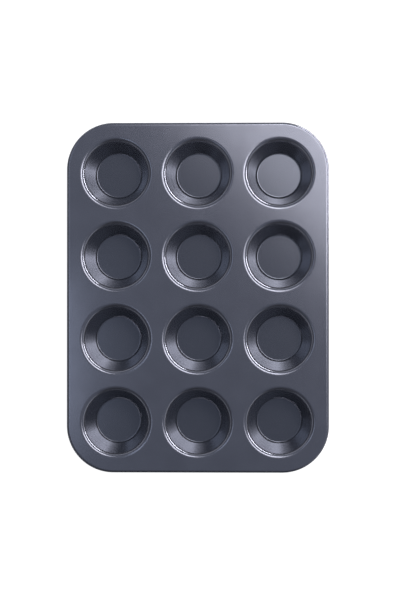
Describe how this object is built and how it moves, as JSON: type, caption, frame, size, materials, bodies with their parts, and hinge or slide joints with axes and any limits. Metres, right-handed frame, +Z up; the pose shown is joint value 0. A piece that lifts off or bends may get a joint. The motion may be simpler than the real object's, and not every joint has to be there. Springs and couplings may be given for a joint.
{
  "type": "muffin tin",
  "caption": "Flat rounded-corner baking tin with a grid of round tapered cups and a rolled, wired rim, for baking muffins.",
  "frame": {"origin": "under the centre of the tin, on the surface that the cups stand on", "axes": "+X across the short side, +Y along the long side, +Z up out of the cups"},
  "size_m": [0.2634, 0.3516, 0.035],
  "materials": {
    "coated_steel": "dark blue-grey non-stick coating on thin steel sheet, satin, with a very fine grain and faint drawing marks round the cup walls",
    "rim_wire": "plain drawn steel wire, hidden inside the rolled rim"
  },
  "bodies": {
    "root": {"deck_sheet": "coated_steel", "rim_wire": "rim_wire", "cup_1_1": "coated_steel", "cup_1_2": "coated_steel", "cup_1_3": "coated_steel", "cup_2_1": "coated_steel", "cup_2_2": "coated_steel", "cup_2_3": "coated_steel", "cup_3_1": "coated_steel", "cup_3_2": "coated_steel", "cup_3_3": "coated_steel", "cup_4_1": "coated_steel", "cup_4_2": "coated_steel", "cup_4_3": "coated_steel"}
  },
  "joints": []
}
